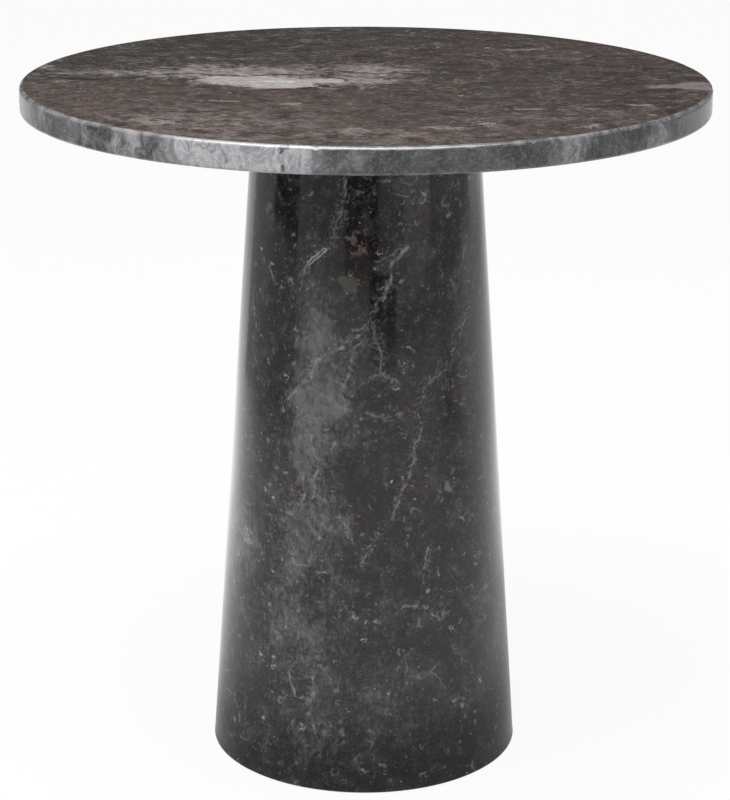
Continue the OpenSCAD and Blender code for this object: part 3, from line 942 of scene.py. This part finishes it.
def make_pedestal(front, back, sawn):
    height = NECK_Z - FOOT_Z
    floor_ring = [(FOOT_R - FOOT_BEVEL - SHOULDER, FOOT_Z)]
    low_bend = arc(FOOT_R - FOOT_BEVEL, FOOT_Z + FOOT_BEVEL, FOOT_BEVEL, -90, 0, FOOT_STEPS)
    rows = [SIDE_FROM] + [i / SIDE_ROWS for i in range(1, SIDE_ROWS)] + [SIDE_TO]
    side = [(cone_r(FOOT_Z + height * t), FOOT_Z + height * t) for t in rows]
    high_bend = arc(NECK_R - NECK_BEVEL, NECK_Z - NECK_BEVEL, NECK_BEVEL, 20, 90, NECK_STEPS)
    inside = [(CORE_R, NECK_Z), (CORE_R, LEDGE_Z), (RECESS_R, LEDGE_Z), (RECESS_R, FOOT_Z)]
    first_side = len(floor_ring + low_bend)
    last_side = len(floor_ring + low_bend + side) - 1
    last_polished = last_side + len(high_bend)

    def shape(angle, index, r, z):
        if not first_side <= index <= last_side:
            return r, z
        wander = noise.noise(Vector(turned(angle, SIDE_CIRCLE, z * SIDE_WAVES)))
        return r + SIDE_WANDER * (wander - 1), z

    def pick(index, angle):
        if index == 0 or index >= last_polished:
            return 2
        return 1 if math.sin(angle) > BACK_FROM else 0

    body = lathe("stone_pedestal", floor_ring + low_bend + side + high_bend + inside,
        PEDESTAL_SEGMENTS, closed=True, shape=shape, pick=pick, materials=(front, back, sawn))
    cut_away(body, [leveller_cutter(i, sawn) for i in LEVELLERS])
    body.data.set_sharp_from_angle(angle=math.radians(PEDESTAL_SHARP))
    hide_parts("pedestal")
    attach(body, "root")


# ---- fixings

def metal(name, light, dark, roughness):
    """Bare or plated metal: slightly patchy, finely scratched."""
    g = Graph(name)
    patches = g.noise(g.place, 0.012, 4, 0.6)
    scratches = g.noise(g.stretch(g.place, (1, 1, 12)), 0.004, 3, 0.7)
    dull = g.add(g.times(scratches, 0.6), g.times(patches, 0.4))
    g.set(base_color=g.mix(g.rise(patches, 0.3, 0.7), dark, light), metallic=1,
        roughness=g.rise(dull, 0.3, 0.7, roughness * 0.75, roughness * 1.3))
    g.set(normal=g.bump(scratches, 0.00003, 0.5))
    return g.material


def moulded(name, drift, colours, shown, roughness, skin, depth, **more):
    """A coating or a plastic: a colour and a polish that drift a little, and a fine skin. drift
    and skin are noises: size, detail, roughness. shown is where the drift starts and ends."""
    g = Graph(name)
    slow = g.noise(g.place, *drift)
    fine = g.noise(g.place, *skin)
    g.set(base_color=g.mix(g.rise(slow, *shown), *colours),
        roughness=g.rise(slow, 0.3, 0.7, *roughness), **more)
    g.set(normal=g.bump(fine, *depth))
    return g.material


def powder_coat():
    return moulded("powder_coat_black", (0.03, 4, 0.6), ((0.018, 0.018, 0.019),
        (0.035, 0.034, 0.033)), (0.3, 0.8), (0.35, 0.5), (0.0016, 2, 0.5), (0.00008, 0.6))


def nylon():
    return moulded("nylon_white", (0.008, 3, 0.5), ((0.62, 0.61, 0.56), (0.72, 0.71, 0.67)),
        (0.3, 0.7), (0.35, 0.5), (0.0007, 2, 0.5), (0.00003, 0.5),
        subsurface_weight=0.1, subsurface_scale=0.002)


def rubber():
    return moulded("rubber_black", (0.01, 4, 0.6), ((0.012, 0.012, 0.012),
        (0.035, 0.034, 0.033)), (0.35, 0.8), (0.65, 0.85), (0.0008, 3, 0.6), (0.0001, 0.6))


def cork():
    g = Graph("cork_bonded")
    crumb = g.cells(g.warp(g.place, (0.002, 0.0006)), 0.0022)
    tint = g.channels(crumb["Color"])[0]
    dark = g.rise(crumb["Distance"], 0.35, 0.7)
    base = g.mix(tint, (0.32, 0.19, 0.095), (0.5, 0.33, 0.18))
    g.set(base_color=g.mix(g.times(dark, 0.6), base, (0.12, 0.065, 0.035)), roughness=0.85)
    g.set(normal=g.bump(g.minus(1, crumb["Distance"]), 0.0003, 0.7))
    return g.material


def felt():
    g = Graph("felt_grey")
    fibres = g.noise(g.warp(g.place, (0.003, 0.002)), 0.0009, 4, 0.75, 1.5)
    patches = g.noise(g.place, 0.006, 3, 0.6)
    base = g.mix(g.rise(fibres, 0.3, 0.75), (0.035, 0.036, 0.04), (0.11, 0.11, 0.115))
    base = g.mix(g.rise(patches, 0.3, 0.8, 0, 0.4), base, (0.08, 0.08, 0.085))
    g.set(base_color=base, roughness=0.95, sheen_weight=0.3, sheen_roughness=0.5)
    g.set(normal=g.bump(fibres, 0.0004, 0.8))
    return g.material


def dress(material, *nodes):
    """Gives CAD nodes a material."""
    for name in nodes:
        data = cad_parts[name].data
        data.materials.clear()
        data.materials.append(material)


def dress_fixings():
    zinc = metal("zinc_plated_steel", (0.62, 0.62, 0.6), (0.42, 0.43, 0.44), 0.32)
    brass = metal("brass_turned", (0.66, 0.47, 0.2), (0.48, 0.33, 0.14), 0.3)
    dress(powder_coat(), "top_plate", "base_plate", "rod_socket")
    dress(zinc, "top_plate_screws", "top_plate_washers", "turn_dowels", "rod_jam_nut",
        "tie_rod", "rod_plate_washer", "rod_spring_washer", "rod_nut",
        *(f"leveller_stud_{i}" for i in LEVELLERS))
    dress(brass, "top_inserts", "leveller_inserts")
    dress(nylon(), "centring_ring", *(f"leveller_pad_{i}" for i in LEVELLERS))
    dress(rubber(), "joint_gasket")
    dress(cork(), "base_gasket")
    dress(felt(), "felt_ring")


# ---- the studio

def background_share(g):
    """1 for the rays that see the background: straight, in a reflection or through glass."""
    ray = g.node("LightPath").outputs
    return g.most(*(ray[f"Is {kind} Ray"] for kind in ("Camera", "Glossy", "Transmission")))


def make_world():
    """White to look at, dimmer as a light."""
    world = bpy.data.worlds.new("studio")
    bpy.context.scene.world = world
    g = Tree(world)
    light = g.tree.nodes["Background"].inputs
    level = g.node("MapRange", {"Value": background_share(g), "To Min": WORLD_LIGHT, "To Max": 1})
    g.put(light["Color"], (1, 1, 1, 1))
    g.put(light["Strength"], level.outputs[0])


def floor_white():
    """Matt paper that mostly glows white where the camera or a reflection sees it."""
    g = Graph("floor_white")
    paper = g.node("BsdfDiffuse", {"Color": (FLOOR_GREY, FLOOR_GREY, FLOOR_GREY, 1)})
    share = g.times(background_share(g), FLOOR_WHITE)
    g.show(g.node("MixShader", {0: share, 1: paper.outputs[0], 2: g.node("Emission").outputs[0]}))
    return g.material


def make_floor():
    """A large white floor, which keeps part of the table's shadow."""
    bm = bmesh.new()
    bmesh.ops.create_circle(bm, cap_ends=True, segments=FLOOR_CORNERS, radius=FLOOR_R)
    mesh = bpy.data.meshes.new("floor")
    bm.to_mesh(mesh)
    bm.free()
    link("floor", mesh, (floor_white(),))


def overhead_lamp():
    """A soft lamp above the front left, aimed at the table."""
    lamp = bpy.data.lights.new("overhead", "AREA")
    lamp.shape = "RECTANGLE"
    lamp.size = lamp.size_y = LAMP_SIDE
    lamp.energy = LAMP_WATTS
    direction = Vector(LAMP_AIM) - Vector(LAMP_PLACE)
    turn = direction.to_track_quat("-Z", "Y").to_matrix().to_4x4()
    link("overhead", lamp).matrix_world = Matrix.Translation(LAMP_PLACE) @ turn


def flag(name, corners, grey):
    """A card that only reflections see. grey is its brightness, or a function that gives it."""
    mesh = bpy.data.meshes.new(name)
    mesh.from_pydata([tuple(c) for c in corners], [], [tuple(range(len(corners)))])
    g = Graph(name)
    g.show(g.node("Emission", {"Strength": grey(g) if callable(grey) else grey}))
    obj = link(name, mesh, (g.material,))
    obj.visible_camera = obj.visible_diffuse = False
    obj.visible_shadow = obj.visible_transmission = False


def card(name, start, end, distance, low, high, grey, steps=6):
    """A curved card round the table, between two angles and two heights."""
    angles = [start + (end - start) * i / steps for i in range(steps + 1)]
    for i, (a, b) in enumerate(zip(angles, angles[1:])):
        corners = [around(a, distance, low), around(b, distance, low),
            around(b, distance, high), around(a, distance, high)]
        flag(f"{name}_{i}", corners, grey)


# Soft spots on the floor: angle, distance, half length, half width, strength.
FLOOR_BRIGHT = [(-141, 1.15, 0.5, 0.6, 0.75), (-138, 1.8, 0.9, 0.8, 0.35),
    (140, 1.1, 0.4, 0.55, 0.34), (-141, 0.3, 0.12, 0.15, 0.35)]
FLOOR_DIM = [(78, 2.5, 0.85, 0.55, 0.55), (135, 3.4, 0.8, 1, 0.35),
    (140, 0.55, 0.16, 0.22, 0.35)]
FLOOR_LEVEL = 0.95
FOOT_DIM = 0.48
# Cards: name, two angles, distance, two heights, grey, steps.
CARDS = [("wall", -180, 180, 5.5, 0.55, 5.0, 0.045, 16),
    ("camera_stand", -19, 12, 5.0, 0, 2.2, 0.01),
    ("camera_foot", 4, 27, 3.3, 0, 0.27, 0.01),
    ("right_low_wall", 27, 63, 3.35, 0, 0.25, 0.48),
    ("left_screen", -132, -95, 1.9, 0, 2.2, 0.58),
    ("left_low_screen", -95, -64, 1.9, 0, 0.38, 0.52),
    ("left_gap", -95, -64, 1.9, 0.38, 2.2, 0.015),
    ("left_wall", -64, -19, 5.0, 0, 2.2, 0.45),
    ("right_wall", 12, 36, 3.4, 0, 2.2, 0.5),
    ("right_strip", 36, 63, 3.4, 0, 2.2, 0.95),
    ("right_side_wall", 63, 100, 3.4, 0, 2.2, 0.48),
    ("right_far_wall", 100, 118, 4.0, 0, 2.2, 0.46),
    ("right_back_wall", 118, 150, 4.0, 0.14, 2.2, 0.46)]


def floor_tone(g):
    """What reflections see of the floor: bright behind the table, dim at its foot and right."""
    def spot(angle, distance, long, wide):
        return g.blob(g.place, around(angle, distance), (long, wide, 1), angle - 90)
    bright = g.spread(spot, FLOOR_BRIGHT, "ADD")
    dim = g.spread(spot, FLOOR_DIM, "ADD")
    foot = g.rise(g.vector("LENGTH", g.place), 0.55, 0.24, 0, FOOT_DIM)
    return g.minus(g.add(g.minus(FLOOR_LEVEL, dim), bright), foot)


def dark_surroundings():
    """The studio's dim walls, what stands in front of them, and a bright panel overhead."""
    for row in CARDS:
        card(*row)
    step = 360 / FLOOR_TONE_CORNERS
    flag("floor_tone", [around(i * step, FLOOR_TONE_R, FLOOR_TONE_Z)
        for i in range(FLOOR_TONE_CORNERS)], floor_tone)
    (left, right), (near, far) = PANEL_X, PANEL_Y
    flag("overhead_panel", [(left, near, PANEL_Z), (right, near, PANEL_Z),
        (right, far, PANEL_Z), (left, far, PANEL_Z)], PANEL_GLOW)


def make_camera():
    camera = bpy.data.cameras.new("camera")
    camera.sensor_fit = "AUTO"
    camera.sensor_width = SENSOR
    camera.lens = LENS
    obj = link("camera", camera)
    upright = Matrix.Rotation(math.radians(90) - CAMERA_TILT, 4, "X")
    obj.matrix_world = (Matrix.Translation((0, -CAMERA_BACK, CAMERA_UP)) @ upright
        @ Matrix.Rotation(CAMERA_ROLL, 4, "Z"))
    bpy.context.scene.camera = obj


bpy.context.scene.view_settings.view_transform = "Standard"
make_world()
make_floor()
make_camera()
overhead_lamp()
dark_surroundings()

sawn = sawn_stone()
make_top(top_stone(), sawn)
make_pedestal(pedestal_stone("stone_pedestal_front", front_of_pedestal),
    pedestal_stone("stone_pedestal_back", back_of_pedestal), sawn)
dress_fixings()

bpy.context.view_layer.update()
